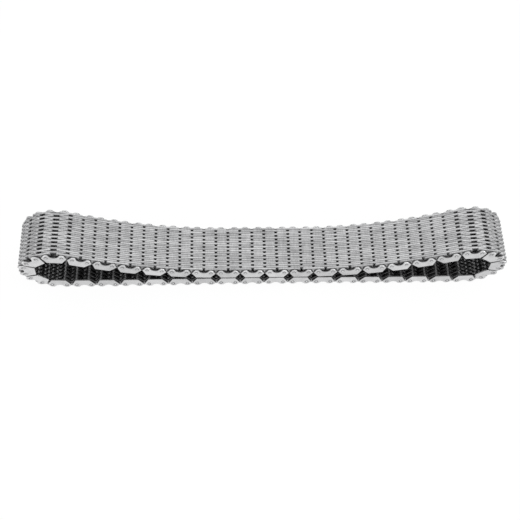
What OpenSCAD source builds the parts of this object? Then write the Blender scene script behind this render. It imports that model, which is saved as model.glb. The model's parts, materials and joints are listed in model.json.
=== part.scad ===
// Silent timing chain: an endless inverted-tooth chain lying slack, with its lower strand
// flat on the ground and its upper strand sagging between the two end loops.
// Rows of toothed link plates are laced together, and each joint turns on a pair of rocker pins.

/* [Chain] */
// Distance between neighbouring joint centres
pitch = 9.525; // [9.4:0.025:9.65]
// Height of the upper pin line over the lower one at the middle of the chain
strand_height = 17.1; // [16.5:0.2:21.3]
// Rise of the middle of the lower strand above the rows that it rests on
strand_arch = 1.2; // [1:0.05:1.3]
// Slope of the row that ends the lower strand, in degrees
lift_off_turn = 5; // [3:0.5:7]
// Turn of the first and the last tightly folded joint of a loop, in degrees
corner_turn = 24.5; // [22:0.5:25]

/* [Link plates] */
// Thickness of a toothed link plate
plate_thickness = 1.5; // [1.3:0.05:1.7]
// Clearance between plates that lie side by side
side_clearance = 0.07; // [0.05:0.01:0.15]
// Overall length of a toothed link plate
plate_length = 17.7; // [17.2:0.1:18.1]
// Height of the flat back over the pin line
back_height = 4.23; // [4.2:0.01:4.5]
// Radius of the rounded plate ends
end_radius = 2.6; // [2:0.1:3]
// Depth of the tooth tips under the pin line
tooth_depth = 7.86; // [7.5:0.03:8.1]
// Distance of a tooth tip's outer edge from the plate middle
tip_outer = 5.4; // [5.2:0.05:5.6]
// Width of a tooth tip
tip_width = 1.3; // [1:0.1:1.6]
// Depth of the crotch between the two teeth under the pin line
crotch_depth = 3; // [2.7:0.1:3.6]

/* [Guide plates] */
// Thickness of a guide plate
guide_thickness = 1; // [0.8:0.05:1.3]
// Clearance between a guide plate and the outermost link plate
guide_clearance = 0.3; // [0.2:0.05:0.4]
// Gap between the pointed ends of neighbouring guide plates on a straight strand
guide_gap = 0.4; // [0.35:0.05:0.8]
// Radius of the two humps on the back
hump_radius = 2.6; // [2.3:0.1:2.9]
// Distance of the humps from the plate middle
hump_spread = 5.4; // [5.2:0.1:5.6]
// Height of the humps over the pin line
hump_height = 4.2; // [4:0.05:4.2]
// Height of the waist between the humps over the pin line
waist_height = 1.3; // [1:0.1:1.9]
// Half of the length of the straight inner edge
inner_edge_half = 5.6; // [5.2:0.1:6]

/* [Rocker pins] */
// Radius of the outer face of a rocker pin
pin_radius = 1.75; // [1.6:0.05:1.9]
// Clearance of a pin in the plate bores
pin_clearance = 0.05; // [0.04:0.01:0.08]
// Radius of the face on which the two pins of a joint roll
rolling_radius = 1.7; // [1.5:0.05:1.8]
// Distance of the rolling face from the joint centre
rolling_gap = 0.06; // [0.055:0.005:0.08]
// Seat clearance of a long pin in its guide plates
seat_clearance = 0.02; // [0.015:0.005:0.03]
// How far the long pins stand out of the guide plates
pin_overhang = 0.2; // [0.1:0.05:0.4]

/* [Hidden] */
$fn = 48;
middle_row = 17;
plain_plates = 12;
guided_plates = 11;
arch_joints = 10;
lift_joint = 16;
first_corner = 17;
last_corner = 24;
first_sag_joint = 27;
sag_joints = 12;
// Joints counted from the middle of the lower strand to the middle of the upper one
half_joints = last_corner + 18;
row_count = 2 * half_joints;

lacing_step = plate_thickness + side_clearance;
bore_radius = pin_radius + pin_clearance;
plate_end = plate_length / 2;
guide_end = pitch - guide_gap / 2;
short_pin_half = (plain_plates - 1) * lacing_step + plate_thickness / 2;
guide_inner = short_pin_half + guide_clearance;
guide_middle = guide_inner + guide_thickness / 2;
long_pin_half = guide_inner + guide_thickness + pin_overhang;
// The first row that leaves the ground tilts about its heel, which sets the height of the pin line
first_tilt = 0.08 * lift_off_turn;
heel_drop = (plate_end - pitch / 2 - end_radius) * sin(first_tilt)
    - (back_height - end_radius) * (1 - cos(first_tilt));
pin_line = back_height + heel_drop;
// The lower strand falls away from its middle in even small turns, the last two of them taking it level
arch_turn = (strand_arch / pitch - sin(first_tilt)) * 2 / (arch_joints * (arch_joints + 1)) * 180 / PI;
// Straight flanks start this far inside a round end, so that the two meet in one clean edge
blend = 0.01;
hump_drop = hump_height - hump_radius - waist_height;
waist_radius = (hump_spread * hump_spread + hump_drop * hump_drop - hump_radius * hump_radius)
    / (2 * (hump_radius + hump_drop));

// Turn of each joint against the row before it, with two folds still to be found
function fold_turn(k, fold, last_fold) =
    k < arch_joints ? -arch_turn :
    k == arch_joints ? arch_joints * arch_turn - first_tilt :
    k == arch_joints + 1 ? first_tilt :
    k == lift_joint - 2 ? 0.08 * lift_off_turn :
    k == lift_joint - 1 ? 0.2 * lift_off_turn :
    k == lift_joint ? 0.72 * lift_off_turn :
    k == first_corner || k == last_corner ? corner_turn :
    k > first_corner && k < last_corner ? fold :
    k == last_corner + 1 ? last_fold : 0;
function fold_sum(fold, last_fold) =
    lift_off_turn + 2 * corner_turn + (last_corner - first_corner - 1) * fold + last_fold;
function sag_turn(k, sum) =
    k >= first_sag_joint && k < first_sag_joint + sag_joints ? (sum - 180) / sag_joints : 0;
function turns(v) =
    let (sum = fold_sum(v[0], v[1]))
    [for (k = [0 : half_joints - 1]) fold_turn(k, v[0], v[1]) - sag_turn(k, sum)];
function headings(t) =
    [for (k = 0, a = 180; k <= half_joints; a = a - (k < half_joints ? t[k] : 0), k = k + 1) a];
// Joint centres along the half loop, in pitches, with the middle row at each end
function stride(k) = k == 0 || k == half_joints ? 0.5 : 1;
function way(h) =
    [for (k = 0, p = [0, 0]; k <= half_joints + 1;
        p = p + (k <= half_joints ? stride(k) * [cos(h[k]), sin(h[k])] : [0, 0]), k = k + 1) p];
// How far the half loop misses the middle of the upper strand
function miss(v) = way(headings(turns(v)))[half_joints + 1] - [0, strand_height / pitch];
function close_loop(v, rounds) =
    rounds == 0 ? v :
    let (e = miss(v), a = (miss(v + [0.01, 0]) - e) / 0.01, b = (miss(v + [0, 0.01]) - e) / 0.01)
    let (det = a[0] * b[1] - a[1] * b[0])
    close_loop(v - [e[0] * b[1] - e[1] * b[0], a[0] * e[1] - a[1] * e[0]] / det, rounds - 1);
folds = close_loop([22, 18], 9);
half_headings = headings(turns(folds));
half_way = way(half_headings);
arch_rise = -half_way[arch_joints + 3][1] * pitch;

function half_middle(k) =
    k == 0 ? half_way[0] :
    k == half_joints ? half_way[half_joints + 1] : (half_way[k] + half_way[k + 1]) / 2;
// Middle and heading of a row, with the right half as the mirror of the left half
function row_place(row) =
    let (k = row - middle_row)
    k >= 0 && k <= half_joints ?
        [half_middle(k)[0] * pitch, half_middle(k)[1] * pitch + pin_line + arch_rise,
            half_headings[k]] :
        let (p = row_place((2 * middle_row - row + row_count) % row_count))
        [-p[0], p[1], -p[2]];

// Where a line from a point touches a circle, on the side counter-clockwise from the point
function touch(centre, radius, point) =
    let (d = point - centre, a = atan2(d[1], d[0]) + acos(radius / norm(d)))
    centre + radius * [cos(a), sin(a)];
function mirrored(p) = [-p[0], p[1]];

// Side view of a toothed link plate, with the teeth pointing down
module plate_profile() {
    end_centre = [plate_end - end_radius, back_height - end_radius];
    tip = [tip_outer, -tooth_depth];
    tip_inner = [tip_outer - tip_width, -tooth_depth];
    flank_top = touch(end_centre, end_radius - blend, tip);
    difference() {
        union() {
            polygon([
                [end_centre[0], back_height], flank_top, tip, tip_inner, [0, -crotch_depth],
                mirrored(tip_inner), mirrored(tip), mirrored(flank_top), [-end_centre[0], back_height],
            ]);
            for (s = [-1, 1])
                translate([s * end_centre[0], end_centre[1]])
                    circle(r = end_radius);
        }
        for (s = [-1, 1])
            translate([s * pitch / 2, 0])
                circle(r = bore_radius);
    }
}

// Side view of a guide plate: a hump over each pin, a waist between them and pointed ends
module guide_profile() {
    hump_centre = [hump_spread, hump_height - hump_radius];
    waist_centre = [0, waist_height + waist_radius];
    hump_edge = touch(hump_centre, hump_radius - blend, [guide_end, 0]);
    waist_edge = hump_centre
        + (hump_radius - blend) * (waist_centre - hump_centre) / (hump_radius + waist_radius);
    difference() {
        union() {
            polygon([
                [guide_end, 0], hump_edge, hump_centre, waist_edge,
                mirrored(waist_edge), mirrored(hump_centre), mirrored(hump_edge), [-guide_end, 0],
                [-inner_edge_half, -tooth_depth], [inner_edge_half, -tooth_depth],
            ]);
            for (s = [-1, 1])
                translate([s * hump_centre[0], hump_centre[1]])
                    circle(r = hump_radius);
        }
        translate(waist_centre)
            circle(r = waist_radius);
        for (s = [-1, 1])
            translate([s * pitch / 2, 0])
                rocker_profile(s, seat_clearance);
    }
}

// Section of a rocker pin: its outer face seats in a bore, its inner face rolls on its mate
module rocker_profile(side, grow) {
    intersection() {
        circle(r = pin_radius + grow);
        translate([side * (rolling_gap + rolling_radius), 0])
            circle(r = rolling_radius + grow);
    }
}

module link_plate() {
    rotate([90, 0, 0])
        linear_extrude(plate_thickness, center = true)
            plate_profile();
}

module guide_plate() {
    rotate([90, 0, 0])
        linear_extrude(guide_thickness, center = true)
            guide_profile();
}

module rocker_pins(half_length) {
    rotate([90, 0, 0])
        linear_extrude(2 * half_length, center = true)
            for (s = [-1, 1])
                translate([s * pitch / 2, 0])
                    rocker_profile(s, 0);
}

// Plates of one row, set apart so that the plates of the next rows fit between them
module plate_stack(count) {
    for (k = [0 : count - 1])
        translate([0, (2 * k - count + 1) * lacing_step, 0])
            link_plate();
}

module guide_pair() {
    for (s = [-1, 1])
        translate([0, s * guide_middle, 0])
            guide_plate();
}

module at_row(row) {
    p = row_place(row);
    translate([p[0], 0, p[1]])
        rotate([0, -p[2], 0])
            children();
}

// One row of the two end loops and the upper strand, with guide plates on every second row
module link_row(row) {
    guided = row % 2 == 0;
    at_row(row) {
        color("silver")
            plate_stack(guided ? guided_plates : plain_plates);
        if (guided)
            color("gainsboro")
                guide_pair();
        color("dimgray")
            rocker_pins(guided ? long_pin_half : short_pin_half);
    }
}

// Rows 1 to 33 lie on the ground and are grouped by the kind of their pieces
module lower_link_plates() {
    color("silver")
        for (row = [1 : 2 : 33])
            at_row(row) plate_stack(plain_plates);
}

module lower_guided_plates() {
    color("lightsteelblue")
        for (row = [2 : 2 : 32])
            at_row(row) plate_stack(guided_plates);
}

module lower_guide_plates() {
    color("gainsboro")
        for (row = [2 : 2 : 32])
            at_row(row) guide_pair();
}

module lower_long_pins() {
    color("dimgray")
        for (row = [2 : 2 : 32])
            at_row(row) rocker_pins(long_pin_half);
}

module lower_short_pins() {
    color("gray")
        for (row = [1 : 2 : 33])
            at_row(row) rocker_pins(short_pin_half);
}

lower_link_plates();
lower_guided_plates();
lower_guide_plates();
lower_long_pins();
lower_short_pins();
link_row(34);  // link_row_34
link_row(35);  // link_row_35
link_row(36);  // link_row_36
link_row(37);  // link_row_37
link_row(38);  // link_row_38
link_row(39);  // link_row_39
link_row(40);  // link_row_40
link_row(41);  // link_row_41
link_row(42);  // link_row_42
link_row(43);  // link_row_43
link_row(44);  // link_row_44
link_row(45);  // link_row_45
link_row(46);  // link_row_46
link_row(47);  // link_row_47
link_row(48);  // link_row_48
link_row(49);  // link_row_49
link_row(50);  // link_row_50
link_row(51);  // link_row_51
link_row(52);  // link_row_52
link_row(53);  // link_row_53
link_row(54);  // link_row_54
link_row(55);  // link_row_55
link_row(56);  // link_row_56
link_row(57);  // link_row_57
link_row(58);  // link_row_58
link_row(59);  // link_row_59
link_row(60);  // link_row_60
link_row(61);  // link_row_61
link_row(62);  // link_row_62
link_row(63);  // link_row_63
link_row(64);  // link_row_64
link_row(65);  // link_row_65
link_row(66);  // link_row_66
link_row(67);  // link_row_67
link_row(68);  // link_row_68
link_row(69);  // link_row_69
link_row(70);  // link_row_70
link_row(71);  // link_row_71
link_row(72);  // link_row_72
link_row(73);  // link_row_73
link_row(74);  // link_row_74
link_row(75);  // link_row_75
link_row(76);  // link_row_76
link_row(77);  // link_row_77
link_row(78);  // link_row_78
link_row(79);  // link_row_79
link_row(80);  // link_row_80
link_row(81);  // link_row_81
link_row(82);  // link_row_82
link_row(83);  // link_row_83
link_row(0);  // link_row_0
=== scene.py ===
import json
import bpy
import numpy as np
from mathutils import Matrix


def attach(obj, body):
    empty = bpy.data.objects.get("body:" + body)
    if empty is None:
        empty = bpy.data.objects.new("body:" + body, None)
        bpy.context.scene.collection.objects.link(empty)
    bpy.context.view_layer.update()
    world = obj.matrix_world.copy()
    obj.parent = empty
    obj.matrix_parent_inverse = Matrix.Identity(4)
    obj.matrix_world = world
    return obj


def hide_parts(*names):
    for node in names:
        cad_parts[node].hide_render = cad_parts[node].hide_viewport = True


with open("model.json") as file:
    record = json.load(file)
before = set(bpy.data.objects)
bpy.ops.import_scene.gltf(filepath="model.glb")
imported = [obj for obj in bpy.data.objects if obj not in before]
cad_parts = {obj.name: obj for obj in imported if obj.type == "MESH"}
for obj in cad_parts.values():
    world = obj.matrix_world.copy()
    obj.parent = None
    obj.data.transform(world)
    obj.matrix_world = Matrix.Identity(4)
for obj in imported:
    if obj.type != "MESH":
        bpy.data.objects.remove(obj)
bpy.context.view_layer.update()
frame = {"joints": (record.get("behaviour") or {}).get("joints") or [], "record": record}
scene = bpy.context.scene

# ---------------------------------------------------------------- toothed link plates
# Eleven or twelve blanked steel plates side by side in each row, with a flat back, round ends and
# two teeth that point into the loop. Blanking rolls the edge on one face and leaves shear lines
# across the thickness; tumbling rubs the backs and corners bright. Their lower halves, flanks and
# crotches are painted dark, as shade from inside the loop. They hang on the rocker pins.

# Lengths are in millimetres until they go into a mesh, and turns are in degrees.
PITCH = 9.525
ROWS = 84
LOWER_MIDDLE = 17       # the row in the middle of the lower strand
UPPER_MIDDLE = 59       # the row in the middle of the upper strand
PIN_LINE = 4.2403449    # height of the joints over the table, where the lower strand lies level
LEVEL_JOINT = 14        # a joint there, counted from the middle of the lower strand

# How far each joint turns the next row, counted the same way: the lower strand's slight arch,
# the lift off the table, the fold of the crown, the joint that closes the loop, and the sag.
ARCH_JOINTS, ARCH_TURN, REST_TILT = 10, 0.12397035, 0.4
LIFT_JOINTS, LIFT_TURNS = slice(14, 17), (0.4, 1.0, 3.6)
FIRST_FOLD, LAST_FOLD, CORNER_TURN, CROWN_TURN = 17, 24, 24.5, 22.05565616
CLOSING_TURN = 18.25728533
SAG_JOINTS, SAG_TURN = slice(27, 39), -2.04926852


def half_loop():
    """Joint centres and row headings from the middle of the lower strand to the middle of the
    upper one. The headings are 180 degrees less the running sum of the joints' turns, and the
    centres are the running sum of one pitch along each heading, with half a pitch at both ends."""
    turn = np.zeros(ROWS // 2)
    turn[:ARCH_JOINTS] = -ARCH_TURN
    turn[ARCH_JOINTS] = ARCH_JOINTS * ARCH_TURN - REST_TILT
    turn[ARCH_JOINTS + 1] = REST_TILT
    turn[LIFT_JOINTS] = LIFT_TURNS
    turn[FIRST_FOLD:LAST_FOLD] = CROWN_TURN
    turn[[FIRST_FOLD, LAST_FOLD]] = CORNER_TURN
    turn[LAST_FOLD + 1] = CLOSING_TURN
    turn[SAG_JOINTS] = SAG_TURN
    heading = 180 - np.concatenate([[0], np.cumsum(turn)])
    stride = np.ones(len(heading))
    stride[[0, -1]] = 0.5
    ahead = np.stack([np.cos(np.radians(heading)), np.sin(np.radians(heading))], 1)
    way = np.concatenate([[[0, 0]], np.cumsum(stride[:, None] * ahead, 0)])
    return PITCH * way, heading


def row_places():
    """Middle and heading of every row: the left half lies halfway between its joints, and the
    right half is its mirror image. The level part of the lower strand stands at the pin line."""
    way, heading = half_loop()
    middle = np.concatenate([way[:1], (way[1:-2] + way[2:-1]) / 2, way[-1:]])
    middle = middle + [0, PIN_LINE - way[LEVEL_JOINT, 1]]
    place, angle = np.zeros((ROWS, 2)), np.zeros(ROWS)
    left = np.arange(LOWER_MIDDLE, UPPER_MIDDLE + 1)
    place[left], angle[left] = middle, heading
    right = (2 * LOWER_MIDDLE - left) % ROWS
    place[right[1:-1]] = middle[1:-1] * [-1, 1]
    angle[right[1:-1]] = -heading[1:-1]
    return place, np.radians(angle)


PLACE, ANGLE = row_places()
for joint in frame["joints"]:
    number = int(joint["name"].split("_")[1])
    x, z = PLACE[[number, (number + 1) % ROWS]].mean(0) / 1000
    off = max(abs(x - joint["pos_m"][0]), abs(z - joint["pos_m"][2]))
    assert off < 1e-3, joint["name"] + " isn't between its two rows"

LOWER_ROWS = np.arange(1, 34)
MOVING_ROWS = [*range(34, ROWS), 0]
BODY_OF_NODE = {node: body for body, nodes in frame["record"]["behaviour"]["bodies"].items()
                for node in nodes}


def on_circle(centre, radius, first, last, count):
    """Points on a circle from one angle to another, in degrees: the centre plus the radius times
    the cosine and the sine of evenly spaced angles."""
    a = np.radians(np.linspace(first, last, count))
    return np.stack([centre[0] + radius * np.cos(a), centre[1] + radius * np.sin(a)], 1)


TOOTH_DEPTH = 7.86          # from the pin line to the tooth tips
TOE = 4.1, 5.4              # the flat of a tooth tip, from the middle of the plate
FLANK_TOP = 8.68, 0.7       # where a straight flank meets the end wall
SHOULDER, SHOULDER_RADIUS = (7.55, 2.93), 1.3
CROTCH, CROTCH_RADIUS, CROTCH_ENDS = (0, -3.9), 0.9, (143.1, 36.9)


def plate_outline():
    """Side view of a toothed plate, counter-clockwise from the right tooth tip: straight flanks
    from the tips, a quarter circle at each shoulder, and a crotch rounded by a circle."""
    right = np.concatenate([[FLANK_TOP], on_circle(SHOULDER, SHOULDER_RADIUS, 0, 90, 4)])
    tips = np.array([[TOE[0], -TOOTH_DEPTH], [TOE[1], -TOOTH_DEPTH]])
    crotch = on_circle(CROTCH, CROTCH_RADIUS, *CROTCH_ENDS, 3)
    mirror = np.array([-1, 1])
    return np.concatenate([tips, right, right[::-1] * mirror, tips[::-1] * mirror, crotch])


def inset(outline, depth):
    """Every point of a closed outline moved inwards: the sum of the normals of its two edges,
    divided by its own projection on one of them, times the depth."""
    before, after = outline - np.roll(outline, 1, 0), np.roll(outline, -1, 0) - outline
    n1 = np.stack([-before[:, 1], before[:, 0]], 1)
    n2 = np.stack([-after[:, 1], after[:, 0]], 1)
    n1 /= np.linalg.norm(n1, axis=1)[:, None]
    n2 /= np.linalg.norm(n2, axis=1)[:, None]
    bisector = n1 + n2
    length = np.maximum(np.einsum("ij,ij->i", bisector, n1), 0.5)
    return outline + depth * bisector / length[:, None]


def carried(outline, stations):
    """An outline carried across the chain: one ring for each (place, inset) station."""
    rings = [np.insert(inset(outline, depth), 1, across, axis=1) for across, depth in stations]
    return np.concatenate(rings)


def walls(rings, count, first=0, flip=False):
    """Quads between following rings of count points each; flip turns them inside out for a bore."""
    k, i = np.meshgrid(np.arange(rings - 1), np.arange(count), indexing="ij")
    a, b = first + k * count + i, first + k * count + (i + 1) % count
    quads = np.stack([a, a + count, b + count, b], -1).reshape(-1, 4)
    return (quads[:, ::-1] if flip else quads).tolist()


def wear_and_painted_shade(at_start, at_end, rings):
    """Wear and painted shade at each corner of the wall quads, from its values at the two ends of
    every
    outline edge: both corners over an edge's start take the first, and both over its end the
    second."""
    return np.tile(np.stack([at_start, at_start, at_end, at_end], 1).ravel(), rings - 1)


PLATE_HALF = 0.75           # half the thickness
PLATE_STATIONS = [(-PLATE_HALF, 0.27), (-0.45, 0), (PLATE_HALF, 0)]    # the first edge is rolled
BORE_RADIUS, BORE_SIDES = 1.8, 8


def link_plate():
    """Points, faces and wear-and-shade values of one plate: its outline carried from face to face,
    two bores of eight sides, and each flat face in two halves that meet along the pin line. The
    value is
    1 on bare metal and 0 on dark scale and painted shade: the back, the ends and the tips are
    bright, and the lower part is dark, painted shade as from inside the loop."""
    outline = plate_outline()
    count = len(outline)
    shell = carried(outline, PLATE_STATIONS)
    bores = []
    for side in (-1, 1):
        ring = on_circle((side * PITCH / 2, 0), BORE_RADIUS / np.cos(np.pi / BORE_SIDES), 0, 315,
                         BORE_SIDES)
        bores += [np.insert(ring, 1, across, axis=1) for across in (-PLATE_HALF, PLATE_HALF)]
    left, right = len(shell), len(shell) + 2 * BORE_SIDES
    faces = walls(3, count) + walls(2, BORE_SIDES, left, True) + walls(2, BORE_SIDES, right, True)

    # A bore crosses the pin line at its corners 0 and 4, and the outline at its points 2 and 11.
    for ring, station, flip in ((0, 0, False), (2, BORE_SIDES, True)):
        o = ring * count
        left_hole, right_hole = left + station, right + station
        over = [hole + k for hole in (left_hole, right_hole) for k in (4, 3, 2, 1, 0)]
        under = [hole + k for hole in (right_hole, left_hole) for k in (0, 7, 6, 5, 4)]
        back = [o + k for k in range(2, 12)] + over
        teeth = [o + k for k in (11, 12, 13, 14, 15, 16, 0, 1, 2)] + under
        faces += [half[::-1] if flip else half for half in (back, teeth)]

    end = np.array([0.35, 0.9, 1, 1, 1])     # value at the five points of an end, from the flank up: darker towards the bottom, painted shade
    both_ends = np.concatenate([end, end[::-1]])
    edge_start = np.concatenate([[1, 0.3], both_ends, [1, 0.15, 0, 0, 0]])
    edge_stop = np.concatenate([[1], both_ends, [0.3, 1, 0, 0, 0, 0.15]])
    back = np.concatenate([0.95 * both_ends, np.full(10, 0.8)])
    teeth = np.zeros(19)
    # The strip of the rolled edge takes a fifth of the wall's value, a painted shade line along one
    # face of every plate, and the half of each flat face below the pin line takes 0, painted shade.
    wear_and_shade = [0.2 * wear_and_painted_shade(edge_start, edge_stop, 2), wear_and_painted_shade(edge_start, edge_stop, 2),
           np.zeros(2 * BORE_SIDES * 4), back, teeth, back[::-1], teeth]
    return np.concatenate([shell] + bores), faces, np.concatenate(wear_and_shade)


def laid_out(template, rows, places):
    """Copies of one small shape, one for each row and place across the chain, as whole arrays:
    (u, y, v) becomes the row's middle plus u along its heading, v square to it and y across."""
    points, faces, wear_and_shade = template
    rows, places = np.repeat(rows, len(places)), np.tile(places, len(rows))
    c, s = np.cos(ANGLE[rows])[:, None], np.sin(ANGLE[rows])[:, None]
    u, y, v = points.T
    x = PLACE[rows, 0][:, None] + u * c - v * s
    z = PLACE[rows, 1][:, None] + u * s + v * c
    co = np.stack([x, y + places[:, None], z], -1).reshape(-1, 3) / 1000
    loops = np.concatenate([np.asarray(face) for face in faces])
    sizes = np.array([len(face) for face in faces])
    loops = (loops + len(points) * np.arange(len(rows))[:, None]).ravel()
    copy = np.repeat(np.arange(len(rows)), len(points))
    return co, loops, np.tile(sizes, len(rows)), copy, np.tile(wear_and_shade, len(rows))


def steel_piece(name, node, material, shapes, seed, crease=35):
    """A mesh object from laid-out copies, with a random tone of its own for each copy, that rides
    on the CAD node's body and stands for that node."""
    co, loops, sizes, copy, wear_and_shade, offset, copies = [], [], [], [], [], 0, 0
    for points, corners, counts, owner, bright in shapes:
        co.append(points)
        loops.append(corners + offset)
        sizes.append(counts)
        copy.append(owner + copies)
        wear_and_shade.append(bright)
        offset += len(points)
        copies += owner[-1] + 1
    co, loops, sizes, copy, wear_and_shade = map(np.concatenate, (co, loops, sizes, copy, wear_and_shade))
    mesh = bpy.data.meshes.new(name)
    mesh.vertices.add(len(co))
    mesh.vertices.foreach_set("co", co.ravel())
    mesh.loops.add(len(loops))
    mesh.loops.foreach_set("vertex_index", loops)
    mesh.polygons.add(len(sizes))
    mesh.polygons.foreach_set("loop_start", np.concatenate([[0], np.cumsum(sizes)[:-1]]))
    mesh.polygons.foreach_set("loop_total", sizes)
    mesh.update(calc_edges=True)
    tone = mesh.attributes.new("tone", "FLOAT", "POINT")
    tone.data.foreach_set("value", np.random.default_rng(seed).random(copies)[copy])
    # Wear and painted shade at every corner: 1 on bare metal, 0 on dark scale and painted shade.
    bare_not_shaded = mesh.attributes.new("wear_and_painted_shade", "FLOAT", "CORNER")
    bare_not_shaded.data.foreach_set("value", wear_and_shade)
    mesh.set_sharp_from_angle(angle=np.radians(crease))
    mesh.materials.append(material)
    piece = bpy.data.objects.new(name, mesh)
    scene.collection.objects.link(piece)
    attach(piece, BODY_OF_NODE[node])
    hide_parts(node)
    return piece


FINE_GRAIN, STAIN_SIZE = 1700, 170.0              # noise waves in a metre
GRAIN_SHARE, STAIN_SHARE, TONE_SHARE = 0.62, 0.2, 0.24
DARK_AT, LIGHT_AT = 0.28, 0.78                    # the colour ramp's two ends
PATCHES = 0.5                                     # how far the stains eat into the bright metal
DULL_AT, SHINY_AT = 0.25, 0.8                     # where on the same scale the gloss changes
DULLER, SHINIER = 0.12, 0.06                      # how far roughness moves to either side


def steel(name, scale_and_shade, dark, light, rough, grain_across):
    """Steel that is dark, heat-treatment scale and painted shade, where the wear-and-shade value is
    low, and bare metal where tumbling and wear have rubbed it. The metal's colour and roughness
    follow one sum: fine grain and broader stains, both noise on Object coordinates, and the plate's
    own tone. A faint bump follows the grain."""
    material = bpy.data.materials.new(name)
    material.use_nodes = True
    tree = material.node_tree
    link = tree.links.new
    tree.nodes.clear()

    def node(kind, **values):
        made = tree.nodes.new(kind)
        for key, value in values.items():
            if key in made.inputs:
                made.inputs[key].default_value = value
            else:
                setattr(made, key, value)
        return made

    def times(source, factor, plus=None):
        made = node("ShaderNodeMath", operation="MULTIPLY" if plus is None else "MULTIPLY_ADD")
        made.inputs[1].default_value = factor
        link(source, made.inputs[0])
        if isinstance(plus, float):
            made.inputs[2].default_value = plus
        elif plus is not None:
            link(plus, made.inputs[2])
        return made.outputs[0]

    place = node("ShaderNodeTexCoord")
    stretch = node("ShaderNodeMapping", Scale=(FINE_GRAIN, grain_across, FINE_GRAIN))
    link(place.outputs["Object"], stretch.inputs["Vector"])
    grain = node("ShaderNodeTexNoise", Scale=1.0, Detail=3.0, Roughness=0.6)
    link(stretch.outputs["Vector"], grain.inputs["Vector"])
    stain = node("ShaderNodeTexNoise", Scale=STAIN_SIZE, Detail=3.0, Roughness=0.55)
    link(place.outputs["Object"], stain.inputs["Vector"])
    tone = node("ShaderNodeAttribute", attribute_name="tone")
    grey = times(grain.outputs["Fac"], GRAIN_SHARE)
    grey = times(stain.outputs["Fac"], STAIN_SHARE, grey)
    grey = times(tone.outputs["Fac"], TONE_SHARE, grey)
    metal = node("ShaderNodeValToRGB")
    metal.color_ramp.elements[0].position = DARK_AT
    metal.color_ramp.elements[0].color = (*dark, 1)
    metal.color_ramp.elements[1].position = LIGHT_AT
    metal.color_ramp.elements[1].color = (*light, 1)
    link(grey, metal.inputs["Fac"])

    # Where the wear-and-shade value is low the scale colour shows, standing for dark scale and
    # painted shade.
    wear_and_shade_value = node("ShaderNodeAttribute", attribute_name="wear_and_painted_shade")
    bare_not_shaded = node("ShaderNodeMath", operation="ADD", use_clamp=True)
    link(wear_and_shade_value.outputs["Fac"], bare_not_shaded.inputs[0])
    link(times(stain.outputs["Fac"], PATCHES, -PATCHES / 2), bare_not_shaded.inputs[1])
    skin = node("ShaderNodeMix", data_type="RGBA")
    link(bare_not_shaded.outputs[0], skin.inputs["Factor"])
    skin.inputs[6].default_value = (*scale_and_shade, 1)
    link(metal.outputs["Color"], skin.inputs[7])

    dull = node("ShaderNodeMapRange")
    dull.inputs["From Min"].default_value = DULL_AT
    dull.inputs["From Max"].default_value = SHINY_AT
    dull.inputs["To Min"].default_value = rough + DULLER
    dull.inputs["To Max"].default_value = rough - SHINIER
    link(grey, dull.inputs["Value"])
    bump = node("ShaderNodeBump", Strength=0.25, Distance=0.00003)
    link(grain.outputs["Fac"], bump.inputs["Height"])
    shader = node("ShaderNodeBsdfPrincipled", Metallic=1.0)
    link(skin.outputs[2], shader.inputs["Base Color"])
    link(dull.outputs["Result"], shader.inputs["Roughness"])
    link(bump.outputs["Normal"], shader.inputs["Normal"])
    out = node("ShaderNodeOutputMaterial")
    link(shader.outputs["BSDF"], out.inputs["Surface"])
    return material


plate_steel = steel("plate_steel", scale_and_shade=(0.105, 0.105, 0.107), dark=(0.31, 0.311, 0.315),
                    light=(0.61, 0.612, 0.617), rough=0.36, grain_across=260)
LACING = 1.57               # a plate's thickness and the clearance beside it
PLAIN_PLACES = (np.arange(12) * 2 - 11) * LACING
GUIDED_PLACES = (np.arange(11) * 2 - 10) * LACING
one_plate = link_plate()

steel_piece("lower_plain_plates", "lower_link_plates", plate_steel,
            [laid_out(one_plate, LOWER_ROWS[::2], PLAIN_PLACES)], seed=1)
steel_piece("lower_laced_plates", "lower_guided_plates", plate_steel,
            [laid_out(one_plate, LOWER_ROWS[1::2], GUIDED_PLACES)], seed=2)
for row in MOVING_ROWS:
    places = PLAIN_PLACES if row % 2 else GUIDED_PLACES
    steel_piece(f"row_{row}_plates", f"link_row_{row}", plate_steel,
                [laid_out(one_plate, np.array([row]), places)], seed=100 + row)

# ---------------------------------------------------------------- guide plates
# One thinner, brighter plate on each side of every second row. It has no teeth: its straight
# inner edge runs beside the sprocket. It is pressed and riveted on the ends of its two long pins,
# in countersunk holes.

GUIDE_TIP = 9.325, 0            # the point of a slanted end
GUIDE_FOOT = 5.6                # half the length of the straight inner edge
HUMP, HUMP_RADIUS = (5.4, 1.6), 2.6
HUMP_TOUCH = 2.59               # the slant touches the hump a hair inside its circle
WAIST_HEIGHT, WAIST_RADIUS = 0.6, 3.25
PIN_SEAT, SEAT_ENDS = 1.75, (-57.9, 57.9)
PIN_FACE, FACE_OUT, FACE_ENDS = 1.7, 1.76, (119.3, 240.7)
PIN_POINTS = 12


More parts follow.
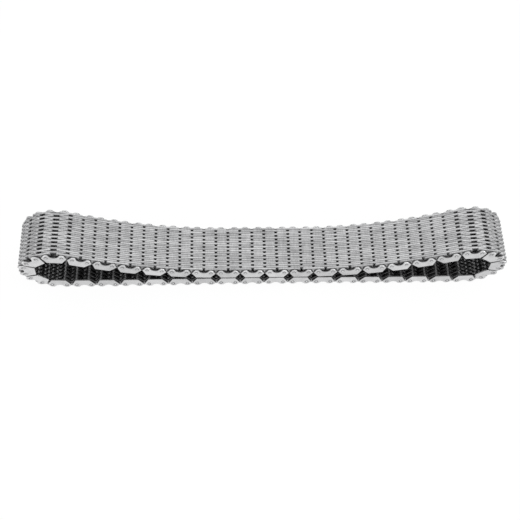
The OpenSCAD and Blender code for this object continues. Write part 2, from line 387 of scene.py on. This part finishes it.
def guide_outline():
    """Side view, counter-clockwise from the inner edge: a slanted end that touches the hump's
    circle, the hump over the pin, and a hollow circle between the two humps that joins them on
    the line through both centres."""
    hump, waist = np.array(HUMP), np.array([0, WAIST_HEIGHT + WAIST_RADIUS])
    tip = np.array(GUIDE_TIP)
    away = tip - hump
    first = np.degrees(np.arctan2(away[1], away[0]) + np.arccos(HUMP_TOUCH / np.hypot(*away)))
    join = np.degrees(np.arctan2(*(waist - hump)[::-1]))
    dip = np.degrees(np.arctan2(*(hump - waist)[::-1]))
    over_pin = on_circle(hump, HUMP_RADIUS, first, join, 9)
    right = np.concatenate([[[GUIDE_FOOT, -TOOTH_DEPTH], tip], over_pin])
    middle = on_circle(waist, WAIST_RADIUS, dip, -180 - dip, 7)[1:-1]
    return np.concatenate([right, middle, right[::-1] * [-1, 1]])


def pin_outline(side):
    """Section of a pin at one end of its row: the lens where two circles overlap, the seat's
    about the joint and the rolling face's about a point a little further out."""
    seat = on_circle((PITCH / 2, 0), PIN_SEAT, *SEAT_ENDS, 7)
    face = on_circle((PITCH / 2 + FACE_OUT, 0), PIN_FACE, *FACE_ENDS, 7)[1:-1]
    section = np.concatenate([seat, face])
    return section if side > 0 else np.roll(section[::-1] * [-1, 1], 1, 0)


GUIDE_STATIONS = [(-0.5, 0.22), (-0.44, 0.07), (-0.3, 0), (0.3, 0), (0.44, 0.07), (0.5, 0.22)]
HOLE_STATIONS = [(-0.5, -0.75), (-0.15, -0.02), (0.15, -0.02), (0.5, -0.75)]


def guide():
    """Points, faces and wear-and-shade values of a guide plate: its outline carried from face to
    face with rounded rims, a countersunk hole of the pin's own section at each end, and each flat
    face in two halves that meet along the pin line. The waist's edge is dark with painted shade,
    and the upper slopes of the countersinks with a painted shadow at the top of each hole."""
    outline = guide_outline()
    count = len(outline)
    shell = carried(outline, GUIDE_STATIONS)
    faces, holes = walls(6, count), []
    # Wear and painted shade by height along the outline: bright on the inner edge and the hump
    # tops, darker towards the pin line and darker still between the two humps, painted shade.
    edge = np.interp(outline[:, 1], [-TOOTH_DEPTH, 0, 1, 2.6], [0.6, 0.3, 0.15, 0.9])
    edge = edge * np.where(abs(outline[:, 0]) < 4, 0.3, 1)
    wear_and_shade = [wear_and_painted_shade(edge, np.roll(edge, -1), 6)]
    for side in (-1, 1):
        section = pin_outline(side)
        holes += [carried(section, HOLE_STATIONS)]
        # Painted shadow in each countersink: its upper slope dark and its lower slope light.
        slope = np.interp(section[:, 1], [-0.8, 0.6], [0.8, 0])
        wear_and_shade.append(wear_and_painted_shade(np.roll(slope, -1), slope, 4))
    left, right = len(shell), len(shell) + 4 * PIN_POINTS
    faces += walls(4, PIN_POINTS, left, True) + walls(4, PIN_POINTS, right, True)

    # A hole crosses the pin line at its points 3 and 9, and the outline at its points 1 and -2.
    for ring, station, flip in ((0, 0, False), (5, 3 * PIN_POINTS, True)):
        o, left_hole, right_hole = ring * count, left + station, right + station
        over = [hole + k for hole in (left_hole, right_hole) for k in (9, 8, 7, 6, 5, 4, 3)]
        under = [hole + k for hole in (right_hole, left_hole) for k in (3, 2, 1, 0, 11, 10, 9)]
        back = [o + k for k in range(1, count - 1)] + over
        foot = [o + count - 2, o + count - 1, o, o + 1] + under
        faces += [half[::-1] if flip else half for half in (back, foot)]
        wear_and_shade.append(np.ones(len(back) + len(foot)))
    return np.concatenate([shell] + holes), faces, np.concatenate(wear_and_shade)


guide_plate = guide()
GUIDE_PLACES = np.array([-18.82, 18.82])
guide_steel = steel("guide_steel", scale_and_shade=(0.10, 0.10, 0.102), dark=(0.47, 0.471, 0.475),
                    light=(0.73, 0.732, 0.737), rough=0.30, grain_across=1400)

steel_piece("lower_guides", "lower_guide_plates", guide_steel,
            [laid_out(guide_plate, LOWER_ROWS[1::2], GUIDE_PLACES)], seed=3, crease=30)
for row in MOVING_ROWS:
    if row % 2 == 0:
        steel_piece(f"row_{row}_guides", f"link_row_{row}", guide_steel,
                    [laid_out(guide_plate, np.array([row]), GUIDE_PLACES)],
                    seed=300 + row, crease=30)

# ---------------------------------------------------------------- rocker pins
# Two hardened, ground pins of lens-shaped section in every joint. Each is held by the plates of
# its own row and rolls on the other as the joint bends. The long ones carry the guide plates.

LONG_HALF, SHORT_HALF = 19.52, 18.02
PIN_DOME = [(0, 0.5), (0.06, 0.2), (0.19, 0)]    # steps back from the end, and how far in


def rocker_pin(half, side):
    """Points, faces and wear-and-shade values of a pin of the given half length, 1 all over: its
    section carried along, drawn in towards both ends in the steps of the dome."""
    ends = [(half - back, depth) for back, depth in PIN_DOME]
    stations = [(-y, depth) for y, depth in ends] + ends[::-1]
    last = len(stations) * PIN_POINTS
    caps = [list(range(PIN_POINTS)), list(range(last - 1, last - PIN_POINTS - 1, -1))]
    faces = walls(len(stations), PIN_POINTS) + caps
    return carried(pin_outline(side), stations), faces, np.ones(sum(map(len, faces)))


pin_steel = steel("pin_steel", scale_and_shade=(0.2, 0.2, 0.205), dark=(0.44, 0.442, 0.45),
                  light=(0.70, 0.703, 0.71), rough=0.27, grain_across=700)
LONG = [rocker_pin(LONG_HALF, side) for side in (-1, 1)]
SHORT = [rocker_pin(SHORT_HALF, side) for side in (-1, 1)]
MIDDLE = np.array([0.0])

steel_piece("lower_long_rockers", "lower_long_pins", pin_steel,
            [laid_out(pin, LOWER_ROWS[1::2], MIDDLE) for pin in LONG], seed=4)
steel_piece("lower_short_rockers", "lower_short_pins", pin_steel,
            [laid_out(pin, LOWER_ROWS[::2], MIDDLE) for pin in SHORT], seed=5)
for row in MOVING_ROWS:
    pins = SHORT if row % 2 else LONG
    steel_piece(f"row_{row}_pins", f"link_row_{row}", pin_steel,
                [laid_out(pin, np.array([row]), MIDDLE) for pin in pins], seed=500 + row)

# ---------------------------------------------------------------- floor, light and camera
# A white paper sweep under the chain, lit from above and from the sides by soft boxes, as for a
# catalogue picture. It is no part of the chain.

SHINING = 0.94              # how much of the sweep shines white, to the camera and in reflections
SWEEP_HALF = 9              # metres
SWEEP_DEPTH = -0.0002       # just under the table's height, so that the chain's backs stay clear


def floor_material():
    """White to the camera and in reflections, with the chain's own shadow kept in it: to those
    rays most of it shines with strength 1 and the rest is matt white, and to all other rays it
    is plain matt paper."""
    material = bpy.data.materials.new("white_sweep")
    material.use_nodes = True
    tree = material.node_tree
    link = tree.links.new
    tree.nodes.clear()
    ray = tree.nodes.new("ShaderNodeLightPath")
    either = tree.nodes.new("ShaderNodeMath")
    either.operation = "MAXIMUM"
    link(ray.outputs["Is Camera Ray"], either.inputs[0])
    link(ray.outputs["Is Glossy Ray"], either.inputs[1])
    paper = tree.nodes.new("ShaderNodeBsdfDiffuse")
    paper.inputs["Color"].default_value = (0.82, 0.82, 0.82, 1)
    white = tree.nodes.new("ShaderNodeBsdfDiffuse")
    white.inputs["Color"].default_value = (0.95, 0.95, 0.95, 1)
    glow = tree.nodes.new("ShaderNodeEmission")
    bright = tree.nodes.new("ShaderNodeMixShader")
    bright.inputs[0].default_value = SHINING
    link(white.outputs[0], bright.inputs[1])
    link(glow.outputs[0], bright.inputs[2])
    seen = tree.nodes.new("ShaderNodeMixShader")
    link(either.outputs[0], seen.inputs[0])
    link(paper.outputs[0], seen.inputs[1])
    link(bright.outputs[0], seen.inputs[2])
    out = tree.nodes.new("ShaderNodeOutputMaterial")
    link(seen.outputs[0], out.inputs["Surface"])
    return material


sheet = bpy.data.meshes.new("sweep")
corners = SWEEP_HALF * np.array([[-1, -1], [1, -1], [1, 1], [-1, 1]])
sheet.from_pydata(np.insert(corners.astype(float), 2, SWEEP_DEPTH, axis=1).tolist(), [],
                  [(0, 1, 2, 3)])
sheet.materials.append(floor_material())
sweep = bpy.data.objects.new("sweep", sheet)
scene.collection.objects.link(sweep)

world = bpy.data.worlds.new("studio")
scene.world = world
world.use_nodes = True
sky = world.node_tree
sky.nodes.clear()
seen = sky.nodes.new("ShaderNodeLightPath")
studio = sky.nodes.new("ShaderNodeBackground")
studio.inputs["Color"].default_value = (0.98, 0.98, 0.98, 1)
studio.inputs["Strength"].default_value = 0.62
backdrop = sky.nodes.new("ShaderNodeBackground")
backdrop.inputs["Color"].default_value = (1, 1, 1, 1)
choose = sky.nodes.new("ShaderNodeMixShader")
sky.links.new(seen.outputs["Is Camera Ray"], choose.inputs[0])
sky.links.new(studio.outputs[0], choose.inputs[1])
sky.links.new(backdrop.outputs[0], choose.inputs[2])
over = sky.nodes.new("ShaderNodeOutputWorld")
sky.links.new(choose.outputs[0], over.inputs["Surface"])

AIM = 0, 0, 0.03            # metres, the middle of the chain


def soft_box(name, place, size, watts):
    """An area light at a place, turned to look at the chain. Its axes are the line back from the
    chain, the level line square to it, and the line square to both."""
    light = bpy.data.lights.new(name, "AREA")
    light.shape = "RECTANGLE"
    light.size, light.size_y = size
    light.energy = watts
    lamp = bpy.data.objects.new(name, light)
    ahead = np.array(AIM) - np.array(place)
    back = -ahead / np.linalg.norm(ahead)
    side = np.cross((0, 0, 1), back)
    side = side / np.linalg.norm(side)
    turn = np.stack([side, np.cross(back, side), back], 1)
    lamp.matrix_world = Matrix.Translation(place) @ Matrix(turn.tolist()).to_4x4()
    scene.collection.objects.link(lamp)


soft_box("top_box", (0, 0.1, 0.9), (2.4, 1.4), 7)
soft_box("front_box", (-0.15, -0.9, 0.45), (1.6, 0.6), 2.4)
soft_box("left_box", (-0.9, -0.1, 0.4), (0.5, 0.8), 2)
soft_box("right_box", (0.9, -0.1, 0.4), (0.5, 0.8), 4)

# The camera stands high in front, a little to the left, tilted, and 67 pitches away. Its target
# is counted in pitches from the middle of the lower strand's pin line.
elevation, turned, tilted = np.radians(65.0), np.radians(-5.85), np.radians(4.68)
distance, target = 67.4, np.array([-0.295, -0.165, 0.492])
pin_line_m = np.array([0, 0, 0.0042403])
focal_pixels, picture_pixels, sensor_mm = 797.6, 520, 36
ahead = -np.array([np.sin(turned) * np.cos(elevation), -np.cos(turned) * np.cos(elevation),
                   np.sin(elevation)])
centre = (target - ahead * distance) * PITCH / 1000 + pin_line_m
across = np.cross(ahead, (0, 0, 1))
across /= np.linalg.norm(across)
upright = np.cross(across, ahead)
right = across * np.cos(tilted) + upright * np.sin(tilted)
upward = -across * np.sin(tilted) + upright * np.cos(tilted)
turn = Matrix(np.stack([right, upward, -ahead], 1).tolist()).to_4x4()
camera = bpy.data.objects.new("camera", bpy.data.cameras.new("camera"))
camera.data.sensor_width = sensor_mm
camera.data.lens = focal_pixels * sensor_mm / picture_pixels
camera.data.clip_start, camera.data.clip_end = 0.01, 20
camera.matrix_world = Matrix.Translation(centre.tolist()) @ turn
scene.collection.objects.link(camera)
scene.camera = camera

scene.view_settings.view_transform = "Standard"
